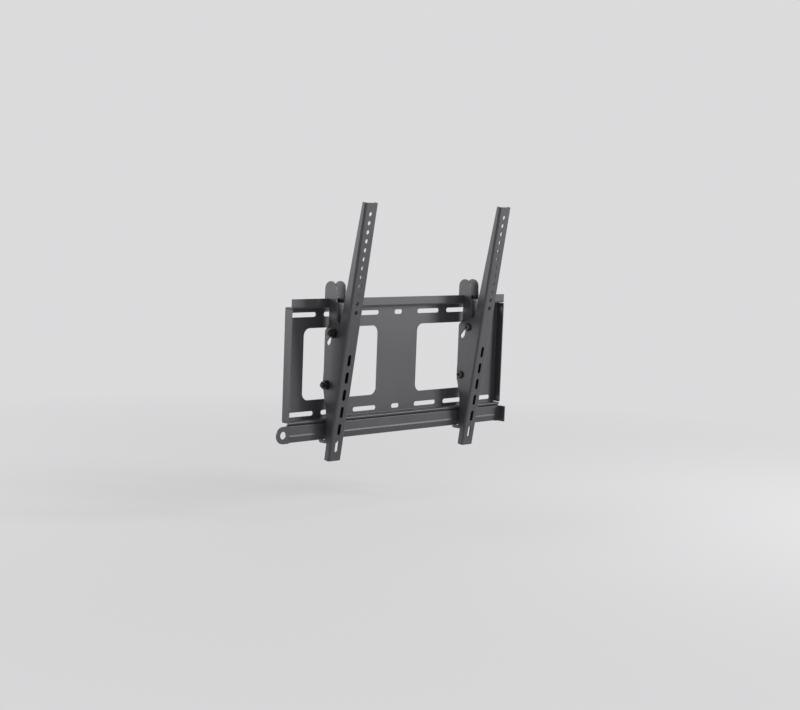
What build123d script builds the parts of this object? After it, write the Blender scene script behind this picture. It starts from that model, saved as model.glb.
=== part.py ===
from build123d import *
import os
from math import cos, hypot, radians, sin

# Tilting wall bracket for a flat screen, made of folded and pierced sheet steel.
# Millimetres. X runs along the wall, Z is up, the wall is at Y = 0 and the room at -Y.
# Profiles are drawn as (q, z), where q is the distance from the wall, so Y = -q.

os.makedirs("parts", exist_ok=True)

# Sheet and clearances
SHEET = 2.0
BEND_IN = 1.0
BEND_OUT = BEND_IN + SHEET
EPS = 0.02
RUN = 0.1
PLAY = 0.5
CORNER_GAP = 1.1

# Wall plate: a panel with side flanges, a hook rail on top, and below a nose that folds back to a skirt
PLATE_W = 528.0
PLATE_H = 191.0
PLATE_LIFT = 1.3
PLATE_D = 17.2
PLATE_TOP = PLATE_LIFT + PLATE_H / 2
PLATE_BOTTOM = PLATE_LIFT - PLATE_H / 2
RAIL_RISE = 13.7
RAIL_TOP = PLATE_TOP + RAIL_RISE
NOSE_D = 14.8
NOSE_IN = 0.2
SKIRT_D = 13.0
SKIRT = 19.8
SLOT_EDGE = 12.5
SLOT_ROW = PLATE_H / 2 - SLOT_EDGE
SLOT_H = 8.0
SLOT_L = 56.0
SLOT_MID_L = 20.0
SLOT_X = (75.5, 150.5, 223.5)
WINDOW_IN = 48.5
WINDOW_SIDE = 42.0
WINDOW_EDGE = 35.1
WINDOW_R = 13.0

# Locking bar: a channel that slides along the skirt
BAR_CLEAR = 1.0
BAR_Q = SKIRT_D + BAR_CLEAR + SHEET
BAR_DROP = 4.4
BAR_BAND = 15.4
BAR_RIDGE = 0.7
BAR_RIDGE_FALL = 3.0
BAR_H = 28.8
BAR_FOLD_IN = 3.6
BAR_D = 9.0
BAR_RETURN = 19.4
BAR_SOFT = 1.2
BAR_TOP = PLATE_BOTTOM - BAR_DROP
BAR_BOTTOM = BAR_TOP - BAR_H
BAR_SHORT = 4.0
BAR_RIGHT = PLATE_W / 2
BAR_LEFT = BAR_SHORT - PLATE_W / 2
EYE_OUT = 12.9
EYE_R = BAR_H / 2
EYE_HOLE_R = 6.5
TAB_D = 31.0
TAB_FOOT = 9.0

# Screen arm: s runs up the front face and o is the depth behind it
ARM_LEFT_X = -169.6
ARM_RIGHT_X = 161.8
ARM_W = 29.0
ARM_BEND_OUT = 4.0
TILT = 9.0
ARM_Q = 59.1
ARM_Z = 14.4
ARM_TOP = 260.2
ARM_BOTTOM = -178.8
HOLE_R = 3.7
HOLE_TOP = 241.6
HOLE_PITCH = 15.0
HOLES = 12
ARM_SLOT_TOP = -4.7
ARM_SLOT_PITCH = 29.8
ARM_SLOT_L = 20.0
ARM_SLOTS = 6
BOLT_O = 30.5
BOLT_S = (35.1, -53.5)
EAR_SOFT = 2.5
EAR_FRONT = ARM_BEND_OUT + 10.0
EAR = [(ARM_TOP, -1.0), (ARM_TOP, 8.5), (72.0, 17.6), (55.0, 20.0), (50.5, 25.0), (45.5, 39.0), (41.0, 41.6),
       (35.0, 41.0), (31.0, 38.0), (28.0, 35.4), (12.0, 35.8), (5.0, 45.6), (-48.0, 41.0), (-62.0, 37.4),
       (-80.0, 30.5), (-97.0, 22.6), (-120.0, 14.8), (-150.0, 11.2), (ARM_BOTTOM, 10.5), (ARM_BOTTOM, -1.0)]

# Tilting: the arm turns about an axis in front of it, near the screen's centre of mass
PIVOT_AHEAD = 57.8
PIVOT_Q = ARM_Q + PIVOT_AHEAD
PIVOT_Z = -42.5
TILT_BACK = 11.0
TILT_ON = 2.0

# Hook bracket
GAP = 1.0
HOOK_W = ARM_W - 2 * SHEET - 2 * GAP
WEB_BEHIND = 21.1
WEB_Q = ARM_Q - WEB_BEHIND
WEB_TOP = RAIL_TOP - 5.7
WEB_HIGH = 73.0
WEB_LOW = (-65.0, 20.0)
WEB_LIP = 8.0
CHEEK_NOSE = 6.0
CHEEK_SHELF = 8.0
HOOK_R = 13.5
HOOK_Q = 19.6
HOOK_RISE = 15.5
HOOK_Z = RAIL_TOP + HOOK_RISE
FINGER_REACH = 12.0
FINGER_LOW = RAIL_TOP - FINGER_REACH
FINGER_NOSE = 3.5
CHEEK_BEHIND = 50.1
CHEEK_BACK = ARM_Q - CHEEK_BEHIND
CHEEK_LOW_BEHIND = 41.4
CHEEK_LOW = ARM_Q - CHEEK_LOW_BEHIND
CHEEK_BACK_Z = (56.0, -43.0)
CHEEK_STEP = (66.0, -62.0)
TAIL = 3.5
TAIL_TOP = PLATE_BOTTOM - SKIRT - 1.0
TIP_Z = BAR_BOTTOM - 5.8
TIP_Q = 24.0
TIP_CUT = 2.0

# Bolts and what is on them
BOLT_R = 4.0
HEAD_R = 7.0
HEAD_H = 4.4
HEAD_SOFT = 2.2
HEX_R = 2.9
HEX_H = 2.6
NUT_AF = 13.0
NUT_H = 6.5
NUT_CUT = 0.7
WASHER_R = 8.4
WASHER_T = 1.6
PAD_R = 9.0
SPACER_R = 6.0
BOLT_END = 4.5


def rotate_about_pivot(q, z, angle):
    """A point of the side view turned about the tilt axis; positive brings its top forward."""
    a = radians(angle)
    dq = q - PIVOT_Q
    dz = z - PIVOT_Z
    return PIVOT_Q + dq * cos(a) + dz * sin(a), PIVOT_Z + dz * cos(a) - dq * sin(a)


def arm_point(s, o):
    """A point of the arm's own side view, placed in the wall's side view."""
    t = radians(TILT)
    return ARM_Q + s * sin(t) - o * cos(t), ARM_Z + s * cos(t) + o * sin(t)


def side_plate(points, x0, x1):
    """Extrudes a closed (q, z) outline from x0 to x1."""
    face = make_face(Polyline(*[(-q, z) for q, z in points], close=True))
    return Plane.YZ.offset(x0) * extrude(face, x1 - x0)


def tube_x(q, z, radius, x0, x1):
    """A cylinder along X at a point of the side view."""
    return Plane.YZ.offset(x0) * Pos(-q, z) * extrude(Circle(radius), x1 - x0)


def through_slot(x, z, length, height):
    """A horizontal slot through the plate's panel."""
    return Plane.XZ.offset(-SHEET) * Pos(x, z) * extrude(SlotOverall(length, height), 3 * SHEET)


def folded(points, radii, x0, x1):
    """A sheet folded along X: its side-view path, offset by the sheet's thickness, run from x0 to x1."""
    with BuildSketch(Plane.YZ.offset(x0)) as sketch:
        with BuildLine():
            FilletPolyline(*[(-q, z) for q, z in points], radius=radii)
            offset(amount=SHEET, side=Side.LEFT)
        make_face()
    return extrude(sketch.sketch, x1 - x0)


def wall_plate():
    half_w = PLATE_W / 2
    rail_q = PLATE_D - SHEET
    skirt_q = SKIRT_D - SHEET
    path = [(skirt_q, PLATE_BOTTOM - SKIRT), (skirt_q, PLATE_BOTTOM - NOSE_D + skirt_q), (NOSE_D, PLATE_BOTTOM),
            (0, PLATE_BOTTOM), (0, PLATE_TOP), (rail_q, PLATE_TOP), (rail_q, RAIL_TOP)]
    radii = (BEND_OUT, NOSE_IN, BEND_OUT, BEND_OUT, BEND_IN)
    body = folded(path, radii, CORNER_GAP - half_w, half_w - CORNER_GAP)
    flange_low = PLATE_BOTTOM + SHEET + CORNER_GAP
    flange_high = PLATE_TOP - SHEET - CORNER_GAP
    with BuildSketch(Plane.XY.offset(flange_low)) as sides:
        with BuildLine():
            FilletPolyline((-half_w, -PLATE_D), (-half_w, 0), (half_w, 0), (half_w, -PLATE_D), radius=BEND_OUT)
            offset(amount=SHEET, side=Side.RIGHT)
        make_face()
    body += extrude(sides.sketch, flange_high - flange_low)
    for row in (SLOT_ROW, -SLOT_ROW):
        body -= through_slot(0, row, SLOT_MID_L, SLOT_H)
        for x in SLOT_X:
            body -= through_slot(x, row, SLOT_L, SLOT_H)
            body -= through_slot(-x, row, SLOT_L, SLOT_H)
    window_out = half_w - WINDOW_SIDE
    opening = RectangleRounded(window_out - WINDOW_IN, PLATE_H - 2 * WINDOW_EDGE, WINDOW_R)
    for x in ((WINDOW_IN + window_out) / 2, -(WINDOW_IN + window_out) / 2):
        body -= Plane.XZ.offset(-SHEET) * Pos(x, 0) * extrude(opening, 3 * SHEET)
    return body


def lock_bar():
    """A channel round the skirt, with an eye at its left end and a pull tab at its right."""
    back = BAR_Q - BAR_D
    ridge_z = BAR_TOP - BAR_BAND
    path = [(BAR_Q, BAR_TOP), (BAR_Q, ridge_z), (BAR_Q + BAR_RIDGE, ridge_z - BAR_RIDGE_FALL),
            (BAR_Q - BAR_FOLD_IN, BAR_BOTTOM), (back, BAR_BOTTOM), (back, BAR_BOTTOM + BAR_RETURN)]
    body = folded(path, (BEND_IN, BEND_OUT, BEND_OUT, BEND_OUT), BAR_LEFT, BAR_RIGHT)
    top_edges = body.edges().filter_by(Axis.X).group_by(Axis.Z)[-1]
    body = fillet(top_edges.sort_by(Axis.Y)[0], BAR_SOFT)
    eye_x = BAR_LEFT - EYE_OUT
    neck = BAR_LEFT + EPS - eye_x
    eye = Pos(eye_x, 0) * Circle(EYE_R) + Pos(eye_x + neck / 2, 0) * Rectangle(neck, 2 * EYE_R)
    eye -= Pos(eye_x, 0) * Circle(EYE_HOLE_R)
    body += Plane.XZ.offset(BAR_Q - SHEET) * Pos(0, BAR_TOP - EYE_R) * extrude(eye, SHEET)
    face = SHEET - BAR_Q
    with BuildSketch(Plane.XY.offset(BAR_BOTTOM)) as tab:
        with BuildLine():
            FilletPolyline((BAR_RIGHT - TAB_FOOT, face), (BAR_RIGHT, face), (BAR_RIGHT, -TAB_D), radius=BEND_OUT)
            offset(amount=SHEET, side=Side.RIGHT)
        make_face()
    body += extrude(tab.sketch, BAR_H)
    return body


def arm(x):
    """Channel arm: folded in its own frame, pierced, then leant to the tilt angle."""
    half = ARM_W / 2
    deep = 2 * BOLT_O
    with BuildSketch(Plane.XY.offset(ARM_BOTTOM)) as section:
        with BuildLine():
            FilletPolyline((-half, deep), (-half, 0), (half, 0), (half, deep), radius=ARM_BEND_OUT)
            offset(amount=SHEET, side=Side.LEFT)
        make_face()
    channel = extrude(section.sketch, ARM_TOP - ARM_BOTTOM)
    outline = make_face(Polyline(*[(o, s) for s, o in EAR], close=True))
    outline = fillet(outline.vertices().filter_by(lambda v: v.X > EAR_FRONT), EAR_SOFT)
    channel &= Plane.YZ.offset(-ARM_W) * extrude(outline, 2 * ARM_W)
    through = Plane.XZ.offset(-2 * SHEET)
    for i in range(HOLES):
        channel -= through * Pos(0, HOLE_TOP - i * HOLE_PITCH) * extrude(Circle(HOLE_R), 3 * SHEET)
    for i in range(ARM_SLOTS):
        place = Pos(0, ARM_SLOT_TOP - i * ARM_SLOT_PITCH) * Rot(0, 0, 90)
        channel -= through * place * extrude(SlotOverall(ARM_SLOT_L, 2 * HOLE_R), 3 * SHEET)
    for s in BOLT_S:
        channel -= Plane.YZ.offset(-ARM_W) * Pos(BOLT_O, s) * extrude(Circle(BOLT_R + EPS), 2 * ARM_W)
    return Pos(x, -ARM_Q, ARM_Z) * Rot(TILT, 0, 0) * channel


def curved_slot(q, z, x0, x1):
    """The slot a bolt sweeps in a cheek as the arm turns about the tilt axis."""
    reach = hypot(q - PIVOT_Q, z - PIVOT_Z)
    half = BOLT_R + RUN
    points = [rotate_about_pivot(q, z, a) for a in (-TILT_BACK, (TILT_ON - TILT_BACK) / 2, TILT_ON)]
    outer = []
    inner = []
    for pq, pz in points:
        direction = ((pq - PIVOT_Q) / reach, (pz - PIVOT_Z) / reach)
        outer.append((-(pq + half * direction[0]), pz + half * direction[1]))
        inner.append((-(pq - half * direction[0]), pz - half * direction[1]))
    edge = [ThreePointArc(*outer), Line(outer[2], inner[2]), ThreePointArc(*inner[::-1]),
            Line(inner[0], outer[0])]
    shape = make_face(edge)
    for pq, pz in (points[0], points[2]):
        shape += Pos(-pq, pz) * Circle(half)
    return Plane.YZ.offset(x0) * extrude(shape, x1 - x0)


def cheek_outline():
    """Side view of one cheek: hook over the rail, window edge, notch for the bar and tail behind it."""
    front = WEB_Q - BEND_OUT - EPS
    nose = front + BEND_OUT + CHEEK_NOSE
    rail_back = PLATE_D - SHEET - PLAY
    rail_front = PLATE_D + PLAY
    notch_front = BAR_Q + BAR_RIDGE + PLAY
    notch_back = BAR_Q - BAR_D - PLAY
    tail_back = notch_back - TAIL
    hook = [(front, WEB_TOP - EPS), (HOOK_Q + HOOK_R, HOOK_Z - TAIL), (HOOK_Q + HOOK_R, HOOK_Z),
            (HOOK_Q - HOOK_R, HOOK_Z), (HOOK_Q - HOOK_R, FINGER_LOW + FINGER_NOSE),
            (HOOK_Q - HOOK_R + FINGER_NOSE, FINGER_LOW),
            (rail_back, FINGER_LOW), (rail_back, RAIL_TOP + EPS), (rail_front, RAIL_TOP + EPS)]
    window = [(rail_front, CHEEK_STEP[0]), (CHEEK_BACK, CHEEK_BACK_Z[0]), (CHEEK_BACK, CHEEK_BACK_Z[1]),
              (CHEEK_LOW, CHEEK_STEP[1])]
    notch = [(rail_front, PLATE_BOTTOM - PLAY), (notch_front, BAR_TOP + PLAY), (notch_front, BAR_BOTTOM - EPS),
             (notch_back, BAR_BOTTOM - EPS), (notch_back, TAIL_TOP), (tail_back, TAIL_TOP)]
    tip = [(tail_back, TIP_Z + TIP_CUT), (tail_back + TIP_CUT, TIP_Z), (TIP_Q - TIP_CUT, TIP_Z),
           (TIP_Q, TIP_Z + TIP_CUT)]
    belly = [(front, WEB_LOW[0]), (front, WEB_LOW[1]), (nose, WEB_LOW[1] + CHEEK_SHELF),
             (nose, WEB_HIGH - CHEEK_SHELF), (front, WEB_HIGH)]
    return hook + window + notch + tip + belly


def hook_bracket(x):
    """Folded hook: two cheeks that hang on the rail and hold the bar, joined by a web in front."""
    half = HOOK_W / 2
    fold_q = WEB_Q - BEND_OUT - EPS
    body = None
    for x0 in (-half, half - SHEET):
        plate = side_plate(cheek_outline(), x0, x0 + SHEET) + tube_x(HOOK_Q, HOOK_Z, HOOK_R, x0, x0 + SHEET)
        body = plate if body is None else body + plate
    for z0, z1 in (WEB_LOW, (WEB_HIGH, WEB_TOP)):
        with BuildSketch(Plane.XY.offset(z0)) as section:
            with BuildLine():
                FilletPolyline((-half, -fold_q), (-half, -WEB_Q), (half, -WEB_Q), (half, -fold_q),
                               radius=BEND_OUT - EPS)
                offset(amount=SHEET, side=Side.LEFT)
            make_face()
        body += extrude(section.sketch, z1 - z0)
    lip = half - BEND_OUT
    body -= Pos(0, -WEB_Q, WEB_TOP) * Box(2 * lip, 3 * SHEET, 2 * BEND_OUT)
    lip_path = [(WEB_Q - WEB_LIP, WEB_TOP), (WEB_Q, WEB_TOP), (WEB_Q, WEB_TOP - BEND_OUT - EPS)]
    body += folded(lip_path, BEND_OUT, -lip, lip)
    for s in BOLT_S:
        body -= curved_slot(*arm_point(s, BOLT_O), -HOOK_W, HOOK_W)
    return Pos(x, 0, 0) * body


def along_x(shape, s, x):
    """Places a shape made along Z at a bolt, with its +Z to +X."""
    q, z = arm_point(s, BOLT_O)
    return Pos(x, -q, z) * Rot(TILT, 0, 0) * Rot(0, 90, 0) * shape


def bolt(s, x, side):
    """Round-headed bolt. side is +1 if its nut is on +X."""
    head = Cylinder(HEAD_R, HEAD_H, align=(Align.CENTER, Align.CENTER, Align.MAX))
    head = fillet(head.edges().group_by(Axis.Z)[0], HEAD_SOFT)
    head -= Pos(0, 0, -HEAD_H) * extrude(RegularPolygon(HEX_R, 6), HEX_H)
    length = ARM_W + WASHER_T + NUT_H + BOLT_END
    shank = Cylinder(BOLT_R, length, align=(Align.CENTER, Align.CENTER, Align.MIN))
    shank = chamfer(shank.edges().group_by(Axis.Z)[-1], BOLT_R / 5)
    shape = head + shank
    if side < 0:
        shape = Rot(180, 0, 0) * shape
    return along_x(shape, s, x - side * (ARM_W / 2 + EPS))


def ring(s, x, outer, thickness):
    """A washer or sleeve around a bolt, centred on x."""
    return along_x(Cylinder(outer, thickness) - Cylinder(BOLT_R + EPS, 2 * thickness), s, x)


def nut(s, x):
    blank = extrude(RegularPolygon(NUT_AF / 2, 6, major_radius=False), NUT_H / 2, both=True)
    cone = Cylinder(NUT_AF * 0.56, NUT_H)
    cone = chamfer(cone.edges(), NUT_CUT)
    return along_x((blank & cone) - Cylinder(BOLT_R + EPS, 2 * NUT_H), s, x)


pieces = {"wall_plate": wall_plate(), "lock_bar": lock_bar()}
for name, x, side in (("left", ARM_LEFT_X, -1), ("right", ARM_RIGHT_X, 1)):
    pieces[name + "_hook_bracket"] = hook_bracket(x)
    pieces[name + "_arm"] = arm(x)
    washer_x = x + side * (ARM_W / 2 + WASHER_T / 2 + EPS)
    nut_x = x + side * (ARM_W / 2 + WASHER_T + NUT_H / 2 + 2 * EPS)
    pad_x = HOOK_W / 2 + GAP / 2
    for level, s in (("upper", BOLT_S[0]), ("lower", BOLT_S[1])):
        label = name + "_" + level
        pieces[label + "_bolt"] = bolt(s, x, side)
        pieces[label + "_washer"] = ring(s, washer_x, WASHER_R, WASHER_T)
        pieces[label + "_nut"] = nut(s, nut_x)
        pads = [ring(s, x + k * pad_x, PAD_R, GAP - 2 * EPS) for k in (-1, 1)]
        pieces[label + "_friction_washers"] = Compound(children=pads)
        pieces[label + "_spacer"] = ring(s, x, SPACER_R, HOOK_W - 2 * SHEET - 2 * EPS)

for name, shape in pieces.items():
    export_step(shape, "parts/" + name + ".step")
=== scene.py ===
import bpy
from mathutils import Matrix, Vector


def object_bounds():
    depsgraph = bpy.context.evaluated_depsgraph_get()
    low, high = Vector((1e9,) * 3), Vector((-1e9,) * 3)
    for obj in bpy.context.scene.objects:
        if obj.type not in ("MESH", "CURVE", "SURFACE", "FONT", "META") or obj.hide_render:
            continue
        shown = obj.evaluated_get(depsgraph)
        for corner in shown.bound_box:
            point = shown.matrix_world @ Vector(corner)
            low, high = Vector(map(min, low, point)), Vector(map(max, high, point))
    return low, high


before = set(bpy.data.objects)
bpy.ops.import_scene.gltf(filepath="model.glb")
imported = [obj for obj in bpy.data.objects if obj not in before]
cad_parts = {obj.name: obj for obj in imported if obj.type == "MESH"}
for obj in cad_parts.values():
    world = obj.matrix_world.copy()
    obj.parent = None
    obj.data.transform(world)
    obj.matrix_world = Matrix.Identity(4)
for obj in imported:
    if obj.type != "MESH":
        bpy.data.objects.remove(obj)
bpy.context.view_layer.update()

# Camera: its place in metres, its right and up directions, and its focal length
EYE = Vector((-1.9804, -1.9445, 0.2806))
RIGHT = Vector((0.70106, -0.71210, 0.03774))
UP = Vector((0.04372, 0.09575, 0.99444))
FOCAL_PIXELS = 1585.6
IMAGE_WIDTH = 800
SENSOR = 36.0
NEAREST = 0.05
FARTHEST = 50.0

# Studio: the floor lies a little under the bracket, and lengths are in metres
CENTRE = (0.0, 0.0, 0.02)
FLOOR_DROP = 0.10
FLOOR_SIZE = 60.0
SHADOW_REACH = 1.6
SHADOW_NEAR = 0.25
SHADOW_KEPT = 0.45
PALE = (0.71, 0.71, 0.72)
WHITE = (1.0, 1.0, 1.0)
FILL = 0.5

# Lamps: name, place, width, power, and height where it differs from the width
LAMPS = [
    ("key", (1.25, -1.35, 0.6), 0.5, 25.0, 0.9),
    ("left_back", (-1.5, 1.4, 0.45), 1.1, 18.0, None),
    ("front", (0.6, -2.6, 0.9), 1.2, 3.0, None),
    ("top", (0.3, -0.5, 2.3), 1.2, 4.0, None),
]

# Powder coat: its two tones, and how much lighter an edge is painted, as rubbed wear and a painted highlight
# along it
COAT_DARK = (0.041, 0.042, 0.046)
COAT_LIGHT = (0.057, 0.058, 0.064)
COAT_ROUGH = 0.42
WEAR_AND_HIGHLIGHT_GAIN = 2.4
WEAR_AND_HIGHLIGHT_LIFT = 0.01

# Blackened steel: its two oxide tones, and the bare metal at its edges
OXIDE_DARK = (0.012, 0.012, 0.014)
OXIDE_LIGHT = (0.045, 0.044, 0.045)
BARE_STEEL = (0.22, 0.215, 0.21)
STEEL_ROUGH = 0.34

# Friction washers: the two tones of their black polymer
POLYMER_DARK = (0.012, 0.012, 0.012)
POLYMER_LIGHT = (0.05, 0.05, 0.05)
POLYMER_ROUGH = 0.6


def opaque(colour):
    return (*colour, 1.0)


class Term:
    """A shader value that can be used in arithmetic; each operation adds its Math node."""

    def __init__(self, shade, socket):
        self.shade = shade
        self.socket = socket

    def _math(self, operation, *values):
        return self.shade.add("ShaderNodeMath", {"operation": operation}, dict(enumerate(values)))

    def __add__(self, other):
        return self._math("ADD", self, other)

    def __radd__(self, other):
        return self._math("ADD", other, self)

    def __sub__(self, other):
        return self._math("SUBTRACT", self, other)

    def __rsub__(self, other):
        return self._math("SUBTRACT", other, self)

    def __mul__(self, other):
        return self._math("MULTIPLY", self, other)

    def __rmul__(self, other):
        return self._math("MULTIPLY", other, self)

    def __truediv__(self, other):
        return self._math("DIVIDE", self, other)

    def __rtruediv__(self, other):
        return self._math("DIVIDE", other, self)

    def at_most(self, other):
        return self._math("MINIMUM", self, other)


class Shade:
    """The shader of one material, or of the world, under construction."""

    def __init__(self, name, world=None):
        self.owner = world or bpy.data.materials.new(name)
        self.owner.use_nodes = True
        self.tree = self.owner.node_tree
        self.tree.nodes.clear()
        self.output = self.tree.nodes.new("ShaderNodeOutputWorld" if world else "ShaderNodeOutputMaterial")

    def connect(self, value, socket):
        if isinstance(value, Term):
            self.tree.links.new(value.socket, socket)
        else:
            socket.default_value = value

    def add(self, kind, settings=None, inputs=None, output=0):
        """Adds a node: its settings first, then the values or links of its sockets."""
        node = self.tree.nodes.new(kind)
        for key, value in (settings or {}).items():
            if key == "stops":
                ramp = node.color_ramp
                while len(ramp.elements) < len(value):
                    ramp.elements.new(1.0)
                for element, (place, colour) in zip(ramp.elements, value):
                    element.position = place
                    element.color = colour
            else:
                setattr(node, key, value)
        for key, value in (inputs or {}).items():
            self.connect(value, node.inputs[key])
        return Term(self, node.outputs[output])

    def surface(self, shader):
        """Makes the shader the result, and returns the finished material or world."""
        self.connect(shader, self.output.inputs["Surface"])
        return self.owner

    def ramp(self, value, stops):
        """Maps a value to a grey through a few stops of (place, grey)."""
        greys = [(place, (grey, grey, grey, 1.0)) for place, grey in stops]
        return self.add("ShaderNodeValToRGB", {"stops": greys}, {"Fac": value})

    def mix(self, factor, one, other):
        """Mixes two colours; sockets 6 and 7, and output 2, are the node's colour ones."""
        return self.add("ShaderNodeMix", {"data_type": "RGBA"}, {0: factor, 6: one, 7: other}, output=2)

    def mix_shader(self, factor, one, other):
        return self.add("ShaderNodeMixShader", {}, {0: factor, 1: one, 2: other})

    def seen_ray(self):
        """1 for camera, glossy and transmission rays."""
        camera = self.add("ShaderNodeLightPath", output="Is Camera Ray")
        glossy = self.add("ShaderNodeLightPath", output="Is Glossy Ray")
        transmission = self.add("ShaderNodeLightPath", output="Is Transmission Ray")
        return (camera + glossy + transmission).at_most(1.0)

    def place(self):
        return self.add("ShaderNodeTexCoord", output="Object")

    def noise(self, where, scale, detail=2.0, rough=0.5):
        inputs = {"Vector": where, "Scale": scale, "Detail": detail, "Roughness": rough}
        return self.add("ShaderNodeTexNoise", {}, inputs)

    def bump(self, height, strength, distance, under=None):
        inputs = {"Height": height, "Strength": strength, "Distance": distance}
        if under is not None:
            inputs["Normal"] = under
        return self.add("ShaderNodeBump", {}, inputs)

    def wear_and_highlight_edge(self, radius):
        """Near 1 along outside edges, from how far the bevelled normal turns from the true one; the coat's
        painted highlight and wear and the steel's bare edges lie there.
        """
        bevel = self.add("ShaderNodeBevel", {"samples": 4}, {"Radius": radius})
        true = self.add("ShaderNodeNewGeometry", output="Normal")
        pair = {0: bevel, 1: true}
        same = self.add("ShaderNodeVectorMath", {"operation": "DOT_PRODUCT"}, pair, output="Value")
        return self.ramp(same, [(0.80, 1.0), (0.985, 0.0)])

    def principled(self, **inputs):
        named = {key.replace("_", " "): value for key, value in inputs.items()}
        return self.surface(self.add("ShaderNodeBsdfPrincipled", {}, named))


def powder_coat(name):
    """Satin powder coat: orange-peel bump, a fine grain of tone and edges painted a little brighter, as
    rubbed wear and a painted highlight.
    """
    shade = Shade(name)
    where = shade.place()
    broad = shade.noise(where, 9.0, 3.0)
    grain = shade.noise(where, 900.0)
    peel = shade.noise(where, 420.0, rough=0.45)
    edge = shade.wear_and_highlight_edge(0.0012)
    tone = shade.ramp(broad * 0.55 + grain * 0.45, [(0.35, 0.0), (0.68, 1.0)])
    coat = shade.mix(tone, opaque(COAT_DARK), opaque(COAT_LIGHT))
    # Edges are painted lighter: part rubbed wear, part a painted highlight along them
    rubbed_and_highlit = [channel * WEAR_AND_HIGHLIGHT_GAIN + WEAR_AND_HIGHLIGHT_LIFT for channel in COAT_LIGHT]
    colour = shade.mix(edge * 0.35, coat, opaque(rubbed_and_highlit))
    rough = COAT_ROUGH + (broad - 0.5) * 0.16 + (grain - 0.5) * 0.08 - edge * 0.05
    fine = shade.bump(grain, 0.12, 0.00012)
    normal = shade.bump(peel, 0.22, 0.0004, under=fine)
    return shade.principled(Base_Color=colour, Roughness=rough, Metallic=0.0, IOR=1.5,
                            Specular_IOR_Level=0.5, Normal=normal)


def black_steel(name):
    """Blackened steel fasteners: metal under a patchy dark oxide, with fine scratches and brighter edges."""
    shade = Shade(name)
    where = shade.place()
    patch = shade.noise(where, 160.0, 4.0, 0.6)
    scratch = shade.noise(where, 2600.0)
    edge = shade.wear_and_highlight_edge(0.0006)
    bare = shade.ramp(patch, [(0.35, 0.0), (0.7, 1.0)])
    oxide = shade.mix(bare, opaque(OXIDE_DARK), opaque(OXIDE_LIGHT))
    colour = shade.mix(edge * 0.55, oxide, opaque(BARE_STEEL))
    rough = STEEL_ROUGH + (patch - 0.5) * 0.25 + (scratch - 0.5) * 0.1
    normal = shade.bump(scratch, 0.15, 0.00008)
    return shade.principled(Base_Color=colour, Roughness=rough, Metallic=0.55, Normal=normal)


def friction_polymer(name):
    """Matt black polymer with a fine speckle."""
    shade = Shade(name)
    speckle = shade.noise(shade.place(), 1800.0, 3.0)
    tone = shade.ramp(speckle, [(0.4, 0.0), (0.65, 1.0)])
    colour = shade.mix(tone, opaque(POLYMER_DARK), opaque(POLYMER_LIGHT))
    rough = POLYMER_ROUGH + (speckle - 0.5) * 0.2
    normal = shade.bump(speckle, 0.2, 0.0001)
    return shade.principled(Base_Color=colour, Roughness=rough, Normal=normal)


def pale_floor(name):
    """The backdrop's tone far off, and partly lit near the bracket, so that its shadow shows."""
    shade = Shade(name)
    seen = shade.seen_ray()
    ends = {0: shade.place(), 1: (0.0, 0.0, 0.0)}
    offset = shade.add("ShaderNodeVectorMath", {"operation": "DISTANCE"}, ends, output="Value")
    far = shade.ramp(offset / SHADOW_REACH, [(SHADOW_NEAR, SHADOW_KEPT), (1.0, 1.0)])
    lit = shade.add("ShaderNodeBsdfDiffuse", {}, {"Color": opaque(PALE)})
    plain = shade.add("ShaderNodeEmission", {}, {"Color": opaque(PALE), "Strength": 1.0})
    return shade.surface(shade.mix_shader(seen * far, lit, plain))


def paint_cad():
    """Gives every CAD node its finish."""
    coat = powder_coat("powder_coat_black")
    steel = black_steel("black_oxide_steel")
    polymer = friction_polymer("friction_polymer")
    for name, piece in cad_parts.items():
        if name.endswith("friction_washers"):
            finish = polymer
        elif name.endswith(("_bolt", "_nut", "_washer", "_spacer")):
            finish = steel
        else:
            finish = coat
        for slot in piece.material_slots:
            slot.material = finish


def lay_floor():
    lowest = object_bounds()[0].z
    bpy.ops.mesh.primitive_plane_add(size=FLOOR_SIZE, location=(0.0, 0.0, lowest - FLOOR_DROP))
    floor = bpy.context.object
    floor.name = "studio_floor"
    floor.data.materials.append(pale_floor("pale_floor"))


def area_light(name, place, width, power, height):
    """Hangs a lamp at a place and turns it to the bracket's centre."""
    data = bpy.data.lights.new(name, "AREA")
    data.energy = power
    data.size = width
    if height:
        data.shape = "RECTANGLE"
        data.size_y = height
    lamp = bpy.data.objects.new(name, data)
    bpy.context.scene.collection.objects.link(lamp)
    lamp.location = place
    lamp.rotation_mode = "QUATERNION"
    lamp.rotation_quaternion = (Vector(CENTRE) - Vector(place)).to_track_quat("-Z", "Y")


def light_studio():
    """White fill on the bracket, the pale backdrop for the camera and for gloss, and the lamps."""
    world = bpy.data.worlds.new("studio")
    bpy.context.scene.world = world
    sky = Shade("studio_sky", world)
    seen = sky.add("ShaderNodeBackground", {}, {"Color": opaque(PALE), "Strength": 1.0})
    fill = sky.add("ShaderNodeBackground", {}, {"Color": opaque(WHITE), "Strength": FILL})
    sky.surface(sky.mix_shader(sky.seen_ray(), fill, seen))
    for name, place, width, power, height in LAMPS:
        area_light(name, place, width, power, height)


def place_camera():
    data = bpy.data.cameras.new("camera")
    data.sensor_width = SENSOR
    data.lens = FOCAL_PIXELS / IMAGE_WIDTH * SENSOR
    data.clip_start = NEAREST
    data.clip_end = FARTHEST
    camera = bpy.data.objects.new("camera", data)
    bpy.context.scene.collection.objects.link(camera)
    turn = Matrix((RIGHT, UP, RIGHT.cross(UP))).transposed()
    camera.matrix_world = Matrix.Translation(EYE) @ turn.to_4x4()
    bpy.context.scene.camera = camera


paint_cad()
lay_floor()
light_studio()
place_camera()
bpy.context.scene.view_settings.view_transform = "Standard"
